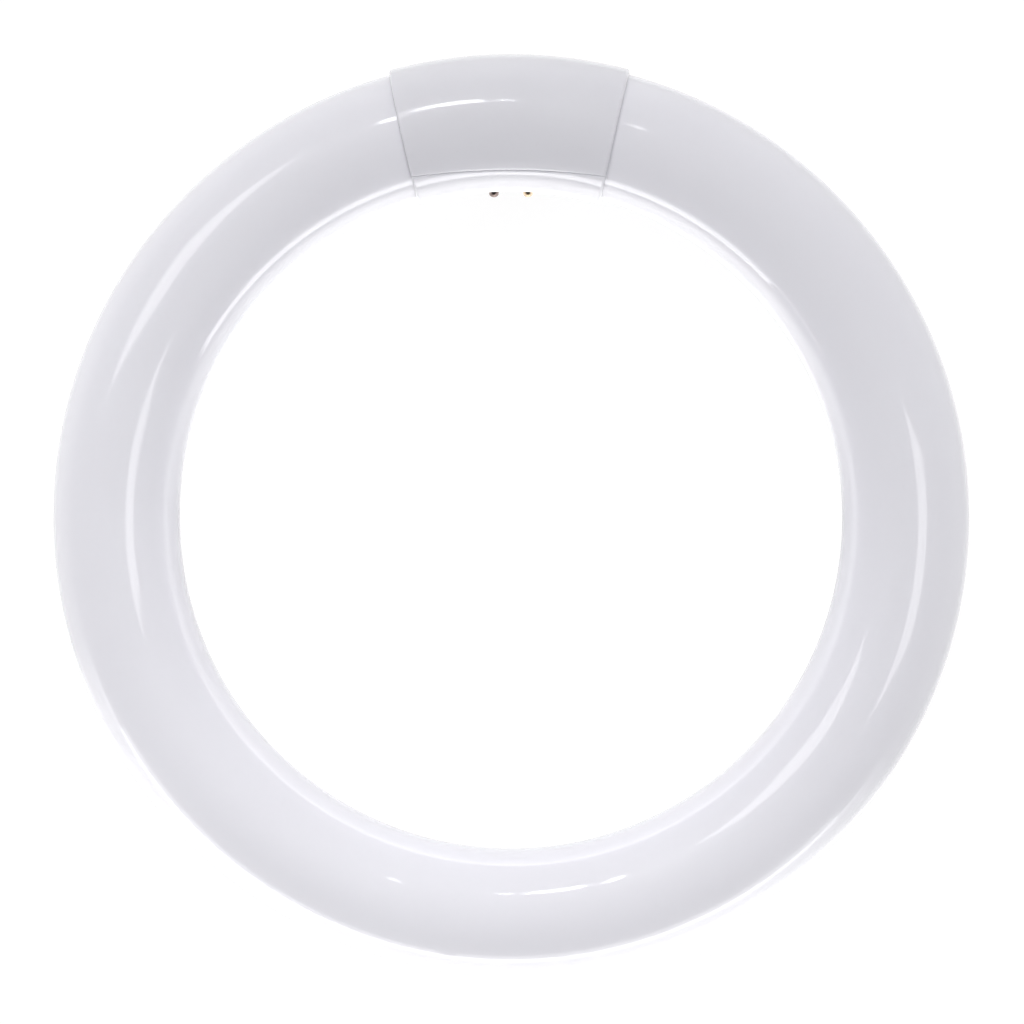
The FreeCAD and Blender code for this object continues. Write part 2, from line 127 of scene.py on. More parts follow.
# Colours, as linear red, green and blue. Each brass has its bright and tarnished tone,
# and a near black that paints shade into its crimps. The second brass is a darker copy
# of the first, painted shade for the left pins where they mirror dark surroundings.
GLASS_WHITE = (0.846, 0.84, 0.898)
GLASS_WHITE_SHADE = (0.826, 0.818, 0.876)
GLASS_SPECKLE = (0.78, 0.785, 0.84)
CAP_WHITE = (0.777, 0.772, 0.825)
CAP_WHITE_SHADE = (0.762, 0.756, 0.81)
CAP_SPECK = (0.7, 0.69, 0.7)
GOLDEN_BRASS = ((0.52, 0.42, 0.31), (0.36, 0.27, 0.18), (0.015, 0.012, 0.008))
SHADED_BRASS = ((0.24, 0.19, 0.175), (0.14, 0.11, 0.1), (0.012, 0.01, 0.01))
WIRE_METAL = (0.6, 0.58, 0.55)
WIRE_STAIN = (0.42, 0.39, 0.36)
YARN_HOLLOW_SHADE = (0.66, 0.62, 0.52)
YARN_RIDGE = (0.88, 0.86, 0.79)
YARN_FUZZ = (0.78, 0.72, 0.6)
FLOOR_PALE = (0.9, 0.9, 0.9)
FLOOR_GRAIN = (0.89, 0.89, 0.89)

# Light of the room on the object, as radiance at the horizon and overhead
HORIZON_LIGHT = 0.62
ZENITH_LIGHT = 0.26

# The floor as the camera sees it: a glow that stays, and a matt tone that the object's
# shadow takes away
FLOOR_GLOW = 0.9
FLOOR_SHADOW = (0.155, 0.155, 0.155)

# Radiance of the floor in the ring as glossy surfaces mirror it: in the middle, at the
# sides, at the near side, under the cap's edge and farther in from there. Then where
# these meet, as distances from the middle, and for the cap from the ring's inner edge.
MIRRORED_IN_RING = 2.0
MIRRORED_AT_SIDES = 0.8
MIRRORED_AT_NEAR = 1.0
MIRRORED_AT_CAP = 2.1
MIRRORED_BEFORE_CAP = 3.8
RING_FADE = 4 * MM
TOWARDS_CAP_OR_NEAR = (0, 40 * MM)
TOWARDS_SIDES = (20 * MM, 45 * MM)
CAP_TONE_WITHIN = (40 * MM, 17 * MM)

# The same outside the ring: in general, how much more of it lies towards X and Y, close
# to the rim, and beyond the near side close to the glass and far off. The fades are
# distances from the rim. The sector is given by the cosine to the near side's direction.
MIRRORED_FLOOR = 0.9
MIRRORED_SIDES = (-0.14, -0.18, 0)
MIRRORED_AT_RIM = 1.02
RIM_TONE_FADE = (15 * MM, 30 * MM)
MIRRORED_NEAR_GLASS = 2.4
MIRRORED_NEAR_FAR_OFF = 5.0
NEAR_TONE_RISE = (20 * MM, 200 * MM)
NEAR_SIDE = (-0.14, -0.99, 0)
NEAR_SIDE_SECTOR = (0.42, 0.8)

# Glow of the floor that lights the object from below, in the ring and outside it, and
# how much more of it lies towards X and Y
GLOW_IN_RING = 0.3
GLOW_OUTSIDE = 0.52
GLOW_SIDES = (-0.13, 0.02, 0)

# Square softboxes that face straight down: name, place along X and Y, side, radiance,
# and whether glossy surfaces mirror them
SOFTBOX_HEIGHT = 2.0
SOFTBOXES = (
    ("left_softbox", (-1.4, 0.94), 1.0, 3.2, True),
    ("far_fill", (0.0, 1.3), 1.0, 2.15, False),
    ("right_softbox", (1.1, -0.2), 0.72, 3.2, True),
    ("right_fill", (1.1, -0.2), 1.6, 0.9, False),
)

# Spot on the near half
SPOT_POWER = 11.8
SPOT_ANGLE = math.radians(22)
SPOT_SOURCE_RADIUS = 0.1
SPOT_PLACE = (-0.25, 0.45, 0.9)
SPOT_TARGET = (-0.02, -0.12, 0)

# Low lamps that only light glossy surfaces: name, place, target, width and height,
# radiance. The first stands in the ring and the others beyond its near side.
LOW_LAMPS = (
    ("low_strip", (9 * MM, -45 * MM, -1 * MM), (9 * MM, 0, -1 * MM), (112 * MM, 26 * MM), 5.0),
    ("near_strip_left", (-0.17, -0.24, 0.015), (0, 0, 0.015), (0.28, 0.058), 2.0),
    ("near_strip_right", (0.09, -0.26, 0.015), (0, 0, 0.015), (0.28, 0.058), 1.9),
)

# Small bare lamps high behind the ring: name, place along X and Y, width and height,
# radiance
SMALL_LAMPS = (
    ("left_lamp", (-0.26, 0.71), (0.036, 0.13), 15),
    ("middle_lamp", (-0.145, 0.78), (0.125, 0.115), 17),
    ("dot_lamp", (-0.03, 0.775), (0.011, 0.07), 26),
    ("right_lamp", (0.155, 0.52), (0.02, 0.1), 7),
)
LAMP_HEIGHT = 1.0

# Camera, fitted to the photograph: distance, focal length in pixels, tilt in degrees
# around X, Y and Z, and how far the ring's centre lies beside the line of sight
CAMERA_DISTANCE = 0.8
FOCAL_LENGTH_PX = 3487.4
PICTURE_PX = 1024
SENSOR_WIDTH_MM = 36
CAMERA_TILT = (2.369, -1.448, 0.066)
CENTRE_SHIFT = Vector((-0.445 * MM, -1.589 * MM, 0))

# Half the side of the floor
FLOOR_HALF = 3.0

# Steps of the meshes, and the angle from which an edge stays sharp
AROUND = 96
ALONG_RING = 480
ALONG_CAP = 72
ALONG_CORE = 24
AROUND_SHELL = 96
AROUND_HOLE = 64
AROUND_PIN = 40
ALONG_PIN = 24
ARC_STEPS = 6
SHARP_ANGLE = math.radians(25)


# Mesh tools


def make_object(name, mesh):
    """An object of the scene around a mesh."""
    made = bpy.data.objects.new(name, mesh)
    bpy.context.scene.collection.objects.link(made)
    return made


def finish_mesh(mesh):
    """Smooth shading apart from the real edges."""
    for polygon in mesh.polygons:
        polygon.use_smooth = True
    mesh.set_sharp_from_angle(angle=SHARP_ANGLE)
    mesh.update()


def bridge(work, loops, closed=True):
    """Quads between each loop of vertices and the next."""
    for one, other in zip(loops, loops[1:]):
        count = len(one)
        for index in range(count if closed else count - 1):
            following = (index + 1) % count
            work.faces.new((one[index], one[following], other[following], other[index]))


def to_mesh(work, name):
    """A mesh of the work in hand, with all faces pointing outwards."""
    bmesh.ops.recalc_face_normals(work, faces=work.faces)
    mesh = bpy.data.meshes.new(name)
    work.to_mesh(mesh)
    work.free()
    return mesh


def boolean(target, operation, tool):
    """Join, cut or intersect two closed objects. The first keeps the result."""
    step = target.modifiers.new("step", "BOOLEAN")
    step.operation = operation
    step.solver = "EXACT"
    step.object = tool
    graph = bpy.context.evaluated_depsgraph_get()
    result = bpy.data.meshes.new_from_object(target.evaluated_get(graph))
    target.modifiers.remove(step)
    old = target.data
    target.data = result
    bpy.data.meshes.remove(old)
    tool_mesh = tool.data
    bpy.data.objects.remove(tool)
    bpy.data.meshes.remove(tool_mesh)


def box_object(name, low, high, place):
    """A block between two corners, in a frame of its own."""
    work = bmesh.new()
    bmesh.ops.create_cube(work, size=1)
    middle = (Vector(low) + Vector(high)) / 2
    size = Vector(high) - Vector(low)
    fit = place @ Matrix.Translation(middle) @ Matrix.Diagonal(size).to_4x4()
    bmesh.ops.transform(work, matrix=fit, verts=work.verts)
    return make_object(name, to_mesh(work, name))


def rod_object(name, radius, low, high, place):
    """A round rod along the Z of a frame of its own."""
    work = bmesh.new()
    bmesh.ops.create_cone(
        work,
        cap_ends=True,
        segments=AROUND_HOLE,
        radius1=radius,
        radius2=radius,
        depth=high - low,
    )
    fit = place @ Matrix.Translation((0, 0, (low + high) / 2))
    bmesh.ops.transform(work, matrix=fit, verts=work.verts)
    return make_object(name, to_mesh(work, name))


def turned_loops(work, profile, place, around, pressed=None):
    """Loops of vertices of a profile of (radius, height) pairs, turned around Z.

    pressed gives how far a point at a radius, turn and height is pushed inwards.
    """
    loops = []
    for radius, height in profile:
        loop = []
        for index in range(around):
            turn = 2 * math.pi * index / around
            reach = radius - (pressed(radius, turn, height) if pressed else 0)
            point = Vector((reach * math.cos(turn), reach * math.sin(turn), height))
            loop.append(work.verts.new(place @ point))
        loops.append(loop)
    return loops


def close_loop(work, loop, point):
    """A fan of triangles from a loop to a point in its middle."""
    middle = work.verts.new(point)
    for index, vertex in enumerate(loop):
        work.faces.new((vertex, loop[(index + 1) % len(loop)], middle))


def arc_points(centre, radius, first, last, steps=ARC_STEPS):
    """Points of an arc, from one angle to another."""
    points = []
    for step in range(steps + 1):
        turn = first + (last - first) * step / steps
        points.append(
            (centre[0] + radius * math.cos(turn), centre[1] + radius * math.sin(turn))
        )
    return points


# Glass


def glass_end_angle():
    """Where the round shoulder starts, so that it stops short of its cross wall."""
    reach = BULKHEAD_OUTSIDE + GLASS_END_GAP + SHOULDER_RADIUS
    return math.asin(reach / (HOLE_RADIUS + SHOULDER_RADIUS))


def ring_place(angle):
    """Frame on the tube's centre line: X away from the ring's centre, Z along the ring.

    The angle runs from +Y towards +X.
    """
    outward = Vector((math.sin(angle), math.cos(angle), 0))
    along = Vector((math.cos(angle), -math.sin(angle), 0))
    side = along.cross(outward)
    turned = Matrix((outward, side, along)).transposed().to_4x4()
    return Matrix.Translation(outward * RING_RADIUS) @ turned


def glass_end_profile():
    """Radius and height of a glass end, from the full tube to the exhaust tip."""
    neck = GLASS_RADIUS - SHOULDER_RADIUS
    quarter = math.pi / 2
    shoulder = arc_points((neck, 0), SHOULDER_RADIUS, 0, quarter, 2 * ARC_STEPS)
    floor = SHOULDER_RADIUS - FLARE_DEPTH
    tip = SHOULDER_RADIUS + EXHAUST_REACH
    return shoulder[1:] + [
        (FLARE_MOUTH_RADIUS, SHOULDER_RADIUS),
        (FLARE_FLOOR_RADIUS, floor),
        (EXHAUST_RADIUS, floor),
        (EXHAUST_RADIUS, tip - EXHAUST_TAPER),
        (EXHAUST_TIP_RADIUS, tip),
    ]


def make_glass():
    """Bent tube with a shoulder, a stem flare and an exhaust tube at each end."""
    work = bmesh.new()
    first = glass_end_angle()
    last = 2 * math.pi - first
    profile = glass_end_profile()
    backwards = Matrix.Rotation(math.pi, 4, "X")
    mirrored = [(radius, -height) for radius, height in reversed(profile)]

    loops = turned_loops(work, mirrored, ring_place(first), AROUND)
    for step in range(ALONG_RING + 1):
        angle = first + (last - first) * step / ALONG_RING
        loops += turned_loops(work, [(GLASS_RADIUS, 0)], ring_place(angle), AROUND)
    loops += turned_loops(work, profile, ring_place(last), AROUND)
    bridge(work, loops)

    tip = Vector((0, 0, SHOULDER_RADIUS + EXHAUST_REACH))
    close_loop(work, loops[0], ring_place(first) @ backwards @ tip)
    close_loop(work, loops[-1], ring_place(last) @ tip)
    return make_object("glass_ring", to_mesh(work, "glass_ring"))


# Cap


def tube_point(ring_angle, radius, around):
    """A point at a radius from the tube's centre line, its angle counted from outwards."""
    reach = RING_RADIUS + radius * math.cos(around)
    return Vector(
        (reach * math.sin(ring_angle), reach * math.cos(ring_angle), radius * math.sin(around))
    )


def parting_angles(ring_angle, radius, height):
    """The two angles around the tube where it meets a plane along the cap's joint.

    The height is the plane's distance behind the joint, towards the pins' tips.
    """
    outwards = radius * math.cos(ring_angle) * math.cos(PARTING_ANGLE)
    upwards = radius * math.sin(PARTING_ANGLE)
    drop = RING_RADIUS * math.cos(PARTING_ANGLE) * (1 - math.cos(ring_angle)) - height
    middle = math.atan2(upwards, outwards)
    spread = math.acos(drop / math.hypot(outwards, upwards))
    return middle - spread, middle + spread


def cap_end_angle(radius, around, inset):
    """Ring angle at the cap's slanted end face, or at a distance inside it."""
    lean = CAP_HALF_ANGLE - CAP_END_SLANT
    reach = RING_RADIUS + radius * math.cos(around)
    return CAP_END_SLANT + math.asin((RING_RADIUS * math.sin(lean) - inset) / reach)


def shell_point(corner, share, inset, drop, is_front):
    """A point of a cap half.

    corner gives the radius, the height behind the joint and the share of the way
    around the half. share runs from -1 to 1 along the cap.
    """
    radius, height, way = corner
    radius = min(radius, CAP_RADIUS - drop)
    ring_angle = 0
    around = 0
    settle_rounds = 8
    for _ in range(settle_rounds):
        low, high = parting_angles(ring_angle, radius, height)
        if is_front:
            around = low + (high - low) * way
        else:
            around = high + (low + 2 * math.pi - high) * way
        ring_angle = share * cap_end_angle(radius, around, inset)
    return tube_point(ring_angle, radius, around)


def shell_section(is_front):
    """Corners around the section of a cap half, with the joint's step at both edges."""
    rounding = PARTING_EDGE_RADIUS
    if is_front:
        edge = -PARTING_GAP
        away = -1
        step_radius = BORE_RADIUS + LIP_THICKNESS + LIP_CLEARANCE
        step_height = -(LIP_HEIGHT + LIP_CLEARANCE)
    else:
        edge = 0
        away = 1
        step_radius = BORE_RADIUS + LIP_THICKNESS
        step_height = -LIP_HEIGHT

    start = edge + away * rounding
    ways = [index / AROUND_SHELL for index in range(AROUND_SHELL + 1)]
    outside = [(CAP_RADIUS, start, way) for way in ways]
    inside = [(BORE_RADIUS, step_height, way) for way in reversed(ways)]
    lip = []
    for index in range(1, ARC_STEPS + 1):
        turn = math.pi / 2 * index / ARC_STEPS
        lip.append(
            (
                CAP_RADIUS - rounding * (1 - math.cos(turn)),
                start - away * rounding * math.sin(turn),
            )
        )
    lip += [(step_radius, edge), (step_radius, step_height)]
    first_lip = [(radius, height, 0) for radius, height in reversed(lip)]
    last_lip = [(radius, height, 1) for radius, height in lip]
    return outside + last_lip + inside + first_lip, len(lip)


def make_shell(name, is_front):
    """One half of the cap as a closed wall with soft edges."""
    section, lip_count = shell_section(is_front)
    steps = []
    for index in range(ARC_STEPS + 1):
        turn = math.pi / 2 * index / ARC_STEPS
        inset = CAP_EDGE_RADIUS * (1 - math.cos(turn))
        drop = CAP_EDGE_RADIUS * (1 - math.sin(turn))
        steps.append((inset, drop))
    stations = [(-1, inset, drop) for inset, drop in steps]
    for index in range(1, ALONG_CAP):
        share = -1 + 2 * index / ALONG_CAP
        stations.append((share, CAP_EDGE_RADIUS, 0))
    stations += [(1, inset, drop) for inset, drop in reversed(steps)]

    work = bmesh.new()
    loops = []
    for share, inset, drop in stations:
        loops.append(
            [
                work.verts.new(shell_point(corner, share, inset, drop, is_front))
                for corner in section
            ]
        )
    bridge(work, loops)
    arc = AROUND_SHELL + 1
    for loop in (loops[0], loops[-1]):
        outside = loop[:arc]
        last_lip = loop[arc : arc + lip_count]
        inside = loop[arc + lip_count : 2 * arc + lip_count]
        first_lip = loop[2 * arc + lip_count :]
        bridge(work, [outside, list(reversed(inside))], closed=False)
        work.faces.new([outside[-1]] + last_lip + [inside[0]])
        work.faces.new([inside[-1]] + first_lip + [outside[0]])
    return make_object(name, to_mesh(work, name))


def ring_segment(name, radius, half_angle):
    """A closed stretch of round tube along the ring, centred on the cap."""
    work = bmesh.new()
    loops = []
    for index in range(ALONG_CORE + 1):
        angle = half_angle * (2 * index / ALONG_CORE - 1)
        loops += turned_loops(work, [(radius, 0)], ring_place(angle), AROUND)
    bridge(work, loops)
    work.faces.new(loops[0])
    work.faces.new(loops[-1])
    return make_object(name, to_mesh(work, name))


def add_inner_walls(shell, is_front):
    """Two cross walls with wire windows, and behind the joint the pins' floor."""
    far = 2 * CAP_RADIUS
    core = BORE_RADIUS + CAP_WALL / 2
    tuck = 0.01 * MM
    if is_front:
        low_z, high_z = -far, -(LIP_HEIGHT + LIP_CLEARANCE + tuck)
    else:
        low_z, high_z = -(LIP_HEIGHT - tuck), far
    blocks = [
        ((PIN_FACE_HALF_LENGTH, -far, low_z), (BULKHEAD_OUTSIDE, far, high_z)),
        ((-BULKHEAD_OUTSIDE, -far, low_z), (-PIN_FACE_HALF_LENGTH, far, high_z)),
    ]
    if not is_front:
        blocks.append(((-BULKHEAD_OUTSIDE, -far, PIN_FLOOR), (BULKHEAD_OUTSIDE, far, far)))
    window_place = Matrix.Translation((0, RING_RADIUS, 0)) @ Matrix.Rotation(
        math.radians(90), 4, "Y"
    )
    walls = None
    for low, high in blocks:
        block = box_object("wall_block", low, high, CAP_FRAME)
        if walls is None:
            walls = block
        else:
            boolean(walls, "UNION", block)
    boolean(walls, "INTERSECT", ring_segment("wall_core", core, CAP_HALF_ANGLE))
    window = rod_object("wire_window", BULKHEAD_WINDOW, -far, far, window_place)
    boolean(walls, "DIFFERENCE", window)
    boolean(shell, "UNION", walls)


def cut_pin_face(shell):
    """The flat notch around the pins, and the four pin holes."""
    far = 2 * CAP_RADIUS
    notch = box_object(
        "notch",
        (-PIN_FACE_HALF_LENGTH, -far, PIN_FACE),
        (PIN_FACE_HALF_LENGTH, far, far),
        CAP_FRAME,
    )
    boolean(shell, "DIFFERENCE", notch)
    for along, across in PINS.values():
        hole = rod_object(
            "pin_hole",
            PIN_COLLAR_RADIUS + PIN_FIT_CLEARANCE,
            0,
            far,
            pin_place(along, across, PIN_FLOOR - PIN_FLANGE_THICKNESS),
        )
        boolean(shell, "DIFFERENCE", hole)


def make_front_half():
    """The outer half of the cap, in front of the joint."""
    shell = make_shell("cap_front_half", True)
    add_inner_walls(shell, True)
    return shell


def make_back_half():
    """The inner half of the cap, which carries the pins."""
    shell = make_shell("cap_back_half", False)
    add_inner_walls(shell, False)
    cut_pin_face(shell)
    return shell


# Contact pins


def pin_place(along, across, height):
    """Frame on a pin's line, at a height from the tube's centre."""
    offset = Vector((along * PIN_PITCH_ALONG / 2, across * PIN_PITCH_ACROSS / 2, height))
    return CAP_FRAME @ Matrix.Translation(offset)


def pin_profile():
    """Radius and height of a pin, from the bore's mouth over the tip's rounding."""
    face = PIN_FLANGE_THICKNESS + (PIN_FACE - PIN_FLOOR)
    tip = face + PIN_LENGTH
    shoulder = PIN_RADIUS - PIN_TIP_ROUNDING
    rounded = arc_points((shoulder, tip - PIN_TIP_ROUNDING), PIN_TIP_ROUNDING, 0, math.pi / 2)
    free = []
    for index in range(ALONG_PIN):
        height = face + (tip - PIN_TIP_ROUNDING - face) * index / ALONG_PIN
        free.append((PIN_RADIUS, height))
    return [
        (PIN_BORE_RADIUS, PIN_BORE_DEPTH),
        (PIN_BORE_RADIUS, 0),
        (PIN_FLANGE_RADIUS, 0),
        (PIN_FLANGE_RADIUS, PIN_FLANGE_THICKNESS),
        (PIN_COLLAR_RADIUS, PIN_FLANGE_THICKNESS),
        (PIN_COLLAR_RADIUS, face),
        *free,
        *rounded,
    ]


def crimp_depth(radius, turn, height):
    """How far the two crimps, which hold the lead wire, press a point of a pin inwards."""
    crimp_height = pin_profile()[-1][1] - PIN_CRIMP_FROM_TIP
    if radius < PIN_RADIUS:
        return 0
    deepest = 0
    for crimp_turn in (math.pi / 2, 3 * math.pi / 2):
        aside = PIN_RADIUS * (turn - crimp_turn)
        apart = math.hypot(aside, height - crimp_height) / PIN_CRIMP_RADIUS
        deepest = max(deepest, 1 - apart**2)
    return PIN_CRIMP_DEPTH * deepest


def make_pin(name, along, across):
    """Hollow contact pin with its flange, collar, crimps and rounded tip."""
    work = bmesh.new()
    # A value on the mesh that tells the material where to paint shade in the crimps
    crimp_shade = work.verts.layers.float.new("crimp_shade")
    base = pin_place(along, across, PIN_FLOOR - PIN_FLANGE_THICKNESS)
    profile = pin_profile()
    loops = turned_loops(work, profile, base, AROUND_PIN, crimp_depth)
    bridge(work, loops)
    close_loop(work, loops[0], base @ Vector((0, 0, PIN_BORE_DEPTH)))
    close_loop(work, loops[-1], base @ Vector((0, 0, profile[-1][1])))
    axis = base.inverted()
    for loop in loops:
        for vertex in loop:
            place = axis @ vertex.co
            turn = math.atan2(place.y, place.x) % (2 * math.pi)
            depth = crimp_depth(PIN_RADIUS, turn, place.z)
            vertex[crimp_shade] = depth / PIN_CRIMP_DEPTH
    return make_object(f"pin_{name}", to_mesh(work, f"pin_{name}"))


# Materials


class Finish:
    """A material with a Principled shader and the nodes that drive it."""

    def __init__(self, name, **plain):
        self.material = bpy.data.materials.new(name)
        self.material.use_nodes = True
        self.nodes = self.material.node_tree.nodes
        self.shader = self.nodes["Principled BSDF"]
        coordinates = self.nodes.new("ShaderNodeTexCoord")
        self.place = coordinates.outputs["Object"]
        for label, value in plain.items():
            self.shader.inputs[label.replace("_", " ")].default_value = value

    def link(self, output, target):
        """Feed a socket from another one."""
        self.material.node_tree.links.new(output, target)

    def feed(self, target, value):
        """Feed a socket from another one, or set it to a number or a colour."""
        if isinstance(value, bpy.types.NodeSocket):
            self.link(value, target)
        elif isinstance(value, tuple):
            target.default_value = (*value, 1)
        else:
            target.default_value = value

    def drive(self, output, *labels):
        """Feed sockets of the main shader."""
        for label in labels:
            self.link(output, self.shader.inputs[label])

    def along(self, direction, place=None):
        """How far a place lies along a direction."""
        dot = self.nodes.new("ShaderNodeVectorMath")
        dot.operation = "DOT_PRODUCT"
        self.link(place or self.place, dot.inputs[0])
        dot.inputs[1].default_value = direction
        return dot.outputs["Value"]

    def measure(self, operation, place):
        """A vector's length, or the vector with a length of one."""
        node = self.nodes.new("ShaderNodeVectorMath")
        node.operation = operation
        self.link(place, node.inputs[0])
        return node.outputs["Value" if operation == "LENGTH" else "Vector"]

    def between(self, factor, first, second):
        """A value between two others. Each is a number or a socket."""
        mix = self.nodes.new("ShaderNodeMix")
        self.link(factor, mix.inputs["Factor"])
        self.feed(mix.inputs["A"], first)
        self.feed(mix.inputs["B"], second)
        return mix.outputs["Result"]

    def noise(self, size, detail=2.0):
        """Cloudy noise from 0 to 1 whose blotches are about this many metres wide."""
        cloud = self.nodes.new("ShaderNodeTexNoise")
        self.link(self.place, cloud.inputs["Vector"])
        cloud.inputs["Scale"].default_value = 1 / size
        cloud.inputs["Detail"].default_value = detail
        return cloud.outputs["Factor" if "Factor" in cloud.outputs else "Fac"]

    def spread(self, output, low, high, low_in=0.3, high_in=0.7):
        """A value moved from a range of its own to between two others, and kept there."""
        scaled = self.nodes.new("ShaderNodeMapRange")
        self.link(output, scaled.inputs["Value"])
        scaled.inputs["From Min"].default_value = low_in
        scaled.inputs["From Max"].default_value = high_in
        scaled.inputs["To Min"].default_value = low
        scaled.inputs["To Max"].default_value = high
        return scaled.outputs["Result"]

    def attribute(self, name):
        """A value kept on the mesh."""
        kept = self.nodes.new("ShaderNodeAttribute")
        kept.attribute_name = name
        return kept.outputs["Fac"]

    def blend(self, factor, first, second):
        """A colour between two others. Each is a colour or a socket."""
        first_colour, second_colour, mixed_colour = 6, 7, 2
        mix = self.nodes.new("ShaderNodeMix")
        mix.data_type = "RGBA"
        self.link(factor, mix.inputs["Factor"])
        self.feed(mix.inputs[first_colour], first)
        self.feed(mix.inputs[second_colour], second)
        return mix.outputs[mixed_colour]

    def wave(self, coordinate, width):
        """Smooth ridges from 0 to 1 across a coordinate, each this many metres wide."""
        turn = self.calculate("MULTIPLY", coordinate, 2 * math.pi / width)
        return self.spread(self.calculate("SINE", turn), 0, 1, -1, 1)

    def calculate(self, operation, first, *second):
        """Result of a math node for one value or two. Each is a number or a socket."""
        node = self.nodes.new("ShaderNodeMath")
        node.operation = operation
        for target, value in zip(node.inputs, (first, *second)):
            self.feed(target, value)
        return node.outputs[0]

    def matt(self, colour):
        """A matt shader. Its colour is a colour or a socket."""
        shader = self.nodes.new("ShaderNodeBsdfDiffuse")
        self.feed(shader.inputs["Color"], colour)
        return shader.outputs[0]

    def glow(self, radiance):
        """A white glow. Its radiance is a number or a socket."""
        shader = self.nodes.new("ShaderNodeEmission")
        self.feed(shader.inputs["Strength"], radiance)
        return shader.outputs[0]

    def sum_of(self, first, second):
        """Two shaders, added."""
        both = self.nodes.new("ShaderNodeAddShader")
        self.link(first, both.inputs[0])
        self.link(second, both.inputs[1])
        return both.outputs[0]

    def relief(self, height, depth, below=None):
        """Surface relief of a depth in metres, on top of another one."""
        bump = self.nodes.new("ShaderNodeBump")
        bump.inputs["Strength"].default_value = 1
        bump.inputs["Distance"].default_value = depth
        self.link(height, bump.inputs["Height"])
        if below is not None:
            self.link(below, bump.inputs["Normal"])
        return bump.outputs[0]


def dress(target, finish):
    """Give an object one material."""
    target.data.materials.clear()
    target.data.materials.append(finish.material)


def glass_finish():
    """Clear polished glass over its chalky white coat."""
    made = Finish("white_glass", Coat_Weight=1.0, Coat_IOR=1.5)
    clouds = made.spread(made.noise(40 * MM, 3.0), 0, 1)
    coat = made.blend(clouds, GLASS_WHITE, GLASS_WHITE_SHADE)
    speckle = made.spread(made.noise(1.1 * MM, 4.0), 0, 0.12, 0.5, 0.8)
    made.drive(made.blend(speckle, coat, GLASS_SPECKLE), "Base Color")
    made.drive(made.spread(made.noise(9 * MM), 0.42, 0.5), "Roughness")
    made.drive(made.spread(made.noise(25 * MM, 3.0), 0.035, 0.075), "Coat Roughness")
    ripple = made.relief(made.noise(28 * MM, 1.0), 0.1 * MM)
    surface = made.relief(made.noise(0.9 * MM, 2.0), 0.0008 * MM, ripple)
    made.drive(surface, "Normal", "Coat Normal")
    return made


def cap_finish():
    """Smooth white moulding, a little duller than the glass."""
    made = Finish("white_moulding", IOR=1.5, Coat_Weight=1.0, Coat_IOR=1.5)
    clouds = made.spread(made.noise(14 * MM, 3.0), 0, 1)
    plastic = made.blend(clouds, CAP_WHITE, CAP_WHITE_SHADE)
    specks = made.spread(made.noise(0.6 * MM, 3.0), 0, 0.2, 0.62, 0.75)
    made.drive(made.blend(specks, plastic, CAP_SPECK), "Base Color")
    made.drive(made.spread(made.noise(5 * MM, 3.0), 0.36, 0.46), "Roughness")
    made.drive(made.spread(made.noise(7 * MM, 3.0), 0.06, 0.11), "Coat Roughness")
    sink = made.relief(made.noise(16 * MM, 1.0), 0.06 * MM)
    grain = made.relief(made.noise(0.5 * MM, 2.0), 0.0025 * MM, sink)
    made.drive(grain, "Normal", "Coat Normal")
    return made


def pin_finish(name, bright, tarnished, crimp_shade_tone):
    """Turned brass with tarnish, marks around the pin and painted shade in its crimps."""
    made = Finish(name, Metallic=1.0)
    tarnish = made.spread(made.noise(1.6 * MM, 4.0), 0, 1, 0.4, 0.62)
    brass = made.blend(tarnish, bright, tarnished)
    # Painted shade: the crimps turn towards a near black tone
    crimp_shade_share = made.spread(made.attribute("crimp_shade"), 0, 1, 0.05, 0.6)
    made.drive(made.blend(crimp_shade_share, brass, crimp_shade_tone), "Base Color")
    made.drive(made.spread(made.noise(0.8 * MM, 3.0), 0.24, 0.42), "Roughness")
    pin_line = (CAP_FRAME.to_3x3() @ Vector((0, 0, 1))).to_tuple()
    marks = made.wave(made.along(pin_line), 0.16 * MM)
    worn = made.calculate("MULTIPLY", marks, made.noise(1.2 * MM))
    turned = made.relief(worn, 0.004 * MM)
    made.drive(made.relief(made.noise(0.3 * MM, 3.0), 0.006 * MM, turned), "Normal")
    return made


def wire_finish():
    """Drawn nickel-iron wire."""
    made = Finish("lead_wire_metal", Metallic=1.0)
    stain = made.spread(made.noise(1.2 * MM, 3.0), 0, 1)
    made.drive(made.blend(stain, WIRE_METAL, WIRE_STAIN), "Base Color")
    made.drive(made.spread(made.noise(0.5 * MM, 3.0), 0.28, 0.46), "Roughness")
    made.drive(made.relief(made.noise(0.12 * MM, 2.0), 0.004 * MM), "Normal")
    return made


def sleeve_finish():
    """Woven glass-fibre sleeve, with painted shade in the hollows of its weave."""
    made = Finish("woven_sleeve", IOR=1.5, Sheen_Weight=0.3)
    thread = 0.35 * MM
    rising = made.wave(made.along((1, 1, 0.6)), thread)
    falling = made.wave(made.along((1, -1, -0.6)), thread)
    weave = made.calculate("MULTIPLY", rising, falling)
    # Darker where the weave dips: painted shade in its hollows
    yarn = made.blend(made.spread(weave, 0, 1, 0, 0.5), YARN_HOLLOW_SHADE, YARN_RIDGE)
    fuzz = made.spread(made.noise(0.5 * MM, 4.0), 0, 0.35)
    made.drive(made.blend(fuzz, yarn, YARN_FUZZ), "Base Color")
    made.drive(made.spread(made.noise(0.8 * MM), 0.7, 0.85), "Roughness")
    made.drive(made.relief(weave, 0.05 * MM), "Normal")
    return made


# Scene


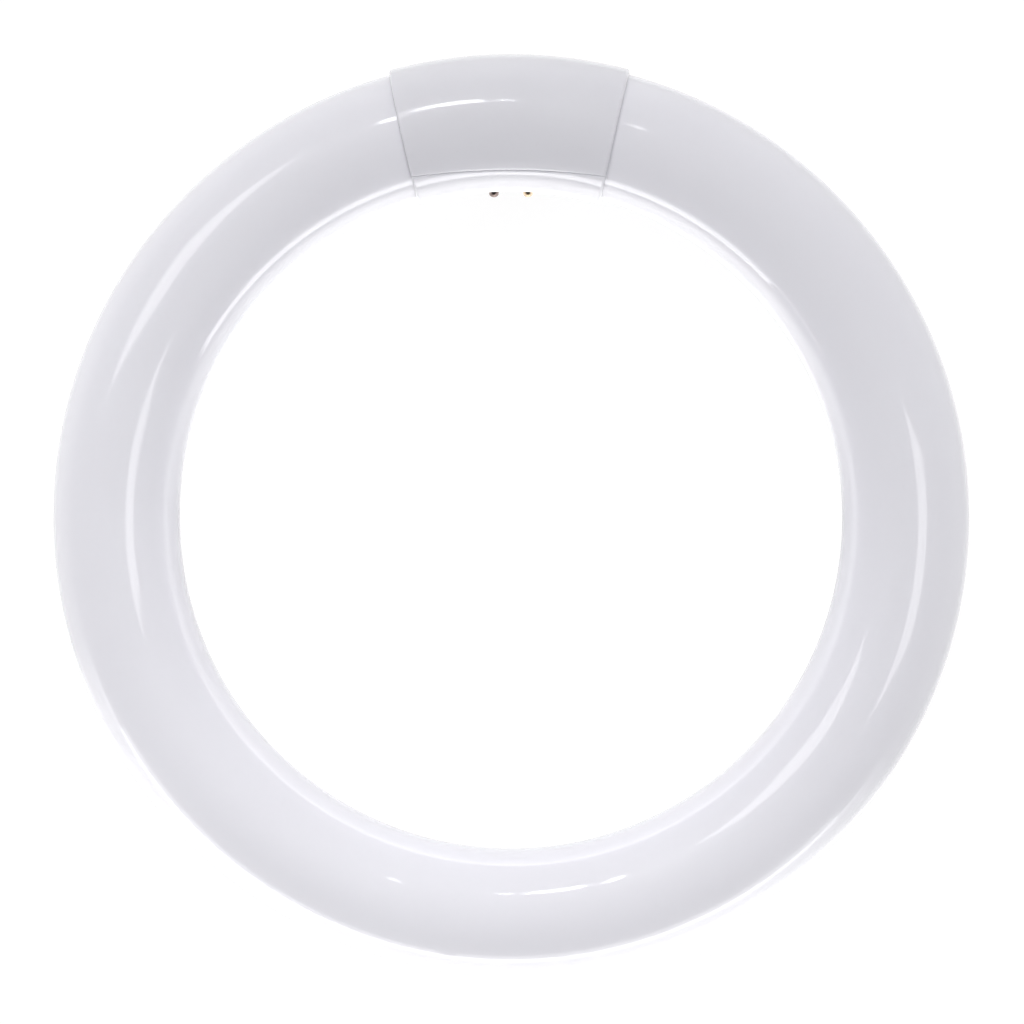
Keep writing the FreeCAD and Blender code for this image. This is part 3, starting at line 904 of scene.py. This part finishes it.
def make_camera():
    """The photograph's view, from almost straight above the ring."""
    turned = Matrix.Identity(3)
    for angle, axis in zip(CAMERA_TILT, "XYZ"):
        turned = turned @ Matrix.Rotation(math.radians(angle), 3, axis)
    back = turned.transposed()
    place = back @ (Vector((0, 0, CAMERA_DISTANCE)) - CENTRE_SHIFT)

    data = bpy.data.cameras.new("camera")
    data.sensor_width = SENSOR_WIDTH_MM
    data.lens = FOCAL_LENGTH_PX / PICTURE_PX * SENSOR_WIDTH_MM
    camera = make_object("camera", data)
    camera.matrix_world = Matrix.Translation(place) @ back.to_4x4()
    bpy.context.scene.camera = camera


def place_lamp(data, place, target):
    """Stand a lamp at a place so that it faces a target, hidden from the camera."""
    lamp = make_object(data.name, data)
    away = Vector(place) - Vector(target)
    turned = away.to_track_quat("Z", "Y").to_matrix().to_4x4()
    lamp.matrix_world = Matrix.Translation(place) @ turned
    lamp.visible_camera = False
    return lamp


def make_flat_lamp(name, place, target, size, radiance):
    """A rectangular lamp of a given brightness that faces a target."""
    data = bpy.data.lights.new(name, "AREA")
    data.shape = "RECTANGLE"
    data.size, data.size_y = size
    data.energy = radiance * math.pi * size[0] * size[1]
    return place_lamp(data, place, target)


def make_spot():
    """A soft spot without a mirror image, which fades away from its target."""
    data = bpy.data.lights.new("near_spot", "SPOT")
    data.energy = SPOT_POWER
    data.spot_size = SPOT_ANGLE
    data.spot_blend = 1
    data.shadow_soft_size = SPOT_SOURCE_RADIUS
    place_lamp(data, SPOT_PLACE, SPOT_TARGET).visible_glossy = False


def make_lights():
    """Softboxes and soft fills overhead, the spot, low lamps and small bare lamps."""
    for name, place, side, radiance, has_image in SOFTBOXES:
        above = (*place, SOFTBOX_HEIGHT)
        lamp = make_flat_lamp(name, above, (*place, 0), (side, side), radiance)
        lamp.visible_glossy = has_image
    make_spot()
    for name, place, target, size, radiance in LOW_LAMPS:
        lamp = make_flat_lamp(name, place, target, size, radiance)
        lamp.visible_diffuse = False
    for name, place, size, radiance in SMALL_LAMPS:
        make_flat_lamp(name, (*place, LAMP_HEIGHT), (0, 0, 0), size, radiance)


def make_surroundings():
    """White to the camera, and for the object a pale room, brighter near the floor."""
    world = bpy.data.worlds.new("studio")
    world.use_nodes = True
    bpy.context.scene.world = world
    nodes = world.node_tree.nodes
    link = world.node_tree.links.new

    direction = nodes.new("ShaderNodeTexCoord").outputs["Generated"]
    height = nodes.new("ShaderNodeSeparateXYZ")
    link(direction, height.inputs[0])
    fall = nodes.new("ShaderNodeMapRange")
    link(height.outputs["Z"], fall.inputs["Value"])
    fall.inputs["From Min"].default_value = 0
    fall.inputs["From Max"].default_value = 1
    fall.inputs["To Min"].default_value = HORIZON_LIGHT
    fall.inputs["To Max"].default_value = ZENITH_LIGHT

    room = nodes["Background"]
    room.inputs["Color"].default_value = (1, 1, 1, 1)
    link(fall.outputs["Result"], room.inputs["Strength"])
    white = nodes.new("ShaderNodeBackground")
    white.inputs["Color"].default_value = (1, 1, 1, 1)
    white.inputs["Strength"].default_value = 1
    mix = nodes.new("ShaderNodeMixShader")
    link(nodes.new("ShaderNodeLightPath").outputs["Is Camera Ray"], mix.inputs[0])
    link(room.outputs[0], mix.inputs[1])
    link(white.outputs[0], mix.inputs[2])
    link(mix.outputs[0], nodes["World Output"].inputs["Surface"])


def in_ring(made):
    """1 on the floor inside the ring and 0 outside it."""
    from_centre = made.measure("LENGTH", made.place)
    return made.spread(from_centre, 1, 0, HOLE_RADIUS, HOLE_RADIUS + RING_FADE)


def mirrored_in_ring(made):
    """Radiance that glossy surfaces mirror from the floor inside the ring."""
    from_centre = made.measure("LENGTH", made.place)
    cap_part = made.spread(made.along((0, 1, 0)), 0, 1, *TOWARDS_CAP_OR_NEAR)
    near_part = made.spread(made.along((0, -1, 0)), 0, 1, *TOWARDS_CAP_OR_NEAR)
    aside = made.calculate("ABSOLUTE", made.along((1, 0, 0)))
    side_part = made.spread(aside, 0, 1, *TOWARDS_SIDES)
    cap_range = [HOLE_RADIUS - inside for inside in CAP_TONE_WITHIN]
    cap_tone = made.spread(from_centre, MIRRORED_BEFORE_CAP, MIRRORED_AT_CAP, *cap_range)

    tone = made.between(side_part, MIRRORED_IN_RING, MIRRORED_AT_SIDES)
    tone = made.between(near_part, tone, MIRRORED_AT_NEAR)
    return made.between(cap_part, tone, cap_tone)


def mirrored_outside(made):
    """Radiance that glossy surfaces mirror from the floor outside the ring."""
    from_centre = made.measure("LENGTH", made.place)
    outwards = made.measure("NORMALIZE", made.place)
    rim_range = [RIM_RADIUS + past for past in RIM_TONE_FADE]
    past_rim = made.spread(from_centre, 0, 1, *rim_range)
    tone = made.calculate("ADD", made.along(MIRRORED_SIDES, outwards), MIRRORED_FLOOR)
    tone = made.between(past_rim, MIRRORED_AT_RIM, tone)

    near_side = made.spread(made.along(NEAR_SIDE, outwards), 0, 1, *NEAR_SIDE_SECTOR)
    near_range = [RIM_RADIUS + past for past in NEAR_TONE_RISE]
    near_tone = made.spread(
        from_centre, MIRRORED_NEAR_GLASS, MIRRORED_NEAR_FAR_OFF, *near_range
    )
    return made.between(near_side, tone, near_tone)


def own_glow(made):
    """Radiance of the floor that lights matt surfaces from below."""
    outwards = made.measure("NORMALIZE", made.place)
    outside = made.calculate("ADD", made.along(GLOW_SIDES, outwards), GLOW_OUTSIDE)
    return made.between(in_ring(made), outside, GLOW_IN_RING)


def floor_finish():
    """A pale floor that glows like a light table.

    The camera sees it nearly white, with a faint shadow of the object. Glossy surfaces
    mirror it brighter than it is, and matt ones are lit by its own weak glow.
    """
    made = Finish("pale_floor")
    made.nodes.remove(made.shader)
    grain = made.spread(made.noise(3 * MM, 3.0), 0, 1)
    matte = made.matt(made.blend(grain, FLOOR_PALE, FLOOR_GRAIN))
    seen = made.sum_of(made.matt(FLOOR_SHADOW), made.glow(FLOOR_GLOW))
    tone = made.between(in_ring(made), mirrored_outside(made), mirrored_in_ring(made))
    mirrored = made.glow(tone)
    surface = made.sum_of(matte, made.glow(own_glow(made)))

    path = made.nodes.new("ShaderNodeLightPath")
    for ray, shown in (("Is Glossy Ray", mirrored), ("Is Camera Ray", seen)):
        mix = made.nodes.new("ShaderNodeMixShader")
        made.link(path.outputs[ray], mix.inputs[0])
        made.link(surface, mix.inputs[1])
        made.link(shown, mix.inputs[2])
        surface = mix.outputs[0]
    made.link(surface, made.nodes["Material Output"].inputs["Surface"])
    return made


def make_floor():
    """Floor plane under the outer pins' tips and the far side of the glass."""
    rim = PIN_RADIUS - PIN_TIP_ROUNDING
    tip = pin_place(0, -1, PIN_FACE + PIN_LENGTH - PIN_TIP_ROUNDING) @ Vector((0, -rim, 0))
    slope = math.atan2(GLASS_LOW.z - cad_low.z, tip.y + RING_RADIUS)
    work = bmesh.new()
    bmesh.ops.create_grid(work, x_segments=1, y_segments=1, size=FLOOR_HALF)
    floor = make_object("floor", to_mesh(work, "floor"))
    centre_height = cad_low.z + tip.y * math.tan(slope)
    level = Matrix.Translation((0, 0, centre_height))
    floor.matrix_world = level @ Matrix.Rotation(-slope, 4, "X")
    dress(floor, floor_finish())


def main():
    """Make the pieces, dress them and set up the camera, the lamps and the floor."""
    glass = make_glass()
    front = make_front_half()
    back = make_back_half()
    moulding = cap_finish()
    for piece, node, slot, finish in (
        (glass, "glass_tube", "glass", glass_finish()),
        (front, "cap_front_shell", "cap", moulding),
        (back, "cap_back_shell", "cap", moulding),
    ):
        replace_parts(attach(piece, "root"), node)
        dress(piece, finish)
        finish_mesh(piece.data)

    golden = pin_finish("golden_brass", *GOLDEN_BRASS)
    # The left pins get a darker copy of the brass: painted shade
    shaded_finish = pin_finish("shaded_brass", *SHADED_BRASS)
    wire = wire_finish()
    woven = sleeve_finish()
    for name, (along, across) in PINS.items():
        pin = make_pin(name, along, across)
        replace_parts(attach(pin, "root"), f"contact_pin_{name}")
        dress(pin, golden if along > 0 else shaded_finish)
        finish_mesh(pin.data)
        dress(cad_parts[f"lead_wire_{name}"], wire)
        dress(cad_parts[f"lead_sleeve_{name}"], woven)

    make_camera()
    make_lights()
    make_surroundings()
    make_floor()
    bpy.context.scene.view_settings.view_transform = "Standard"


main()
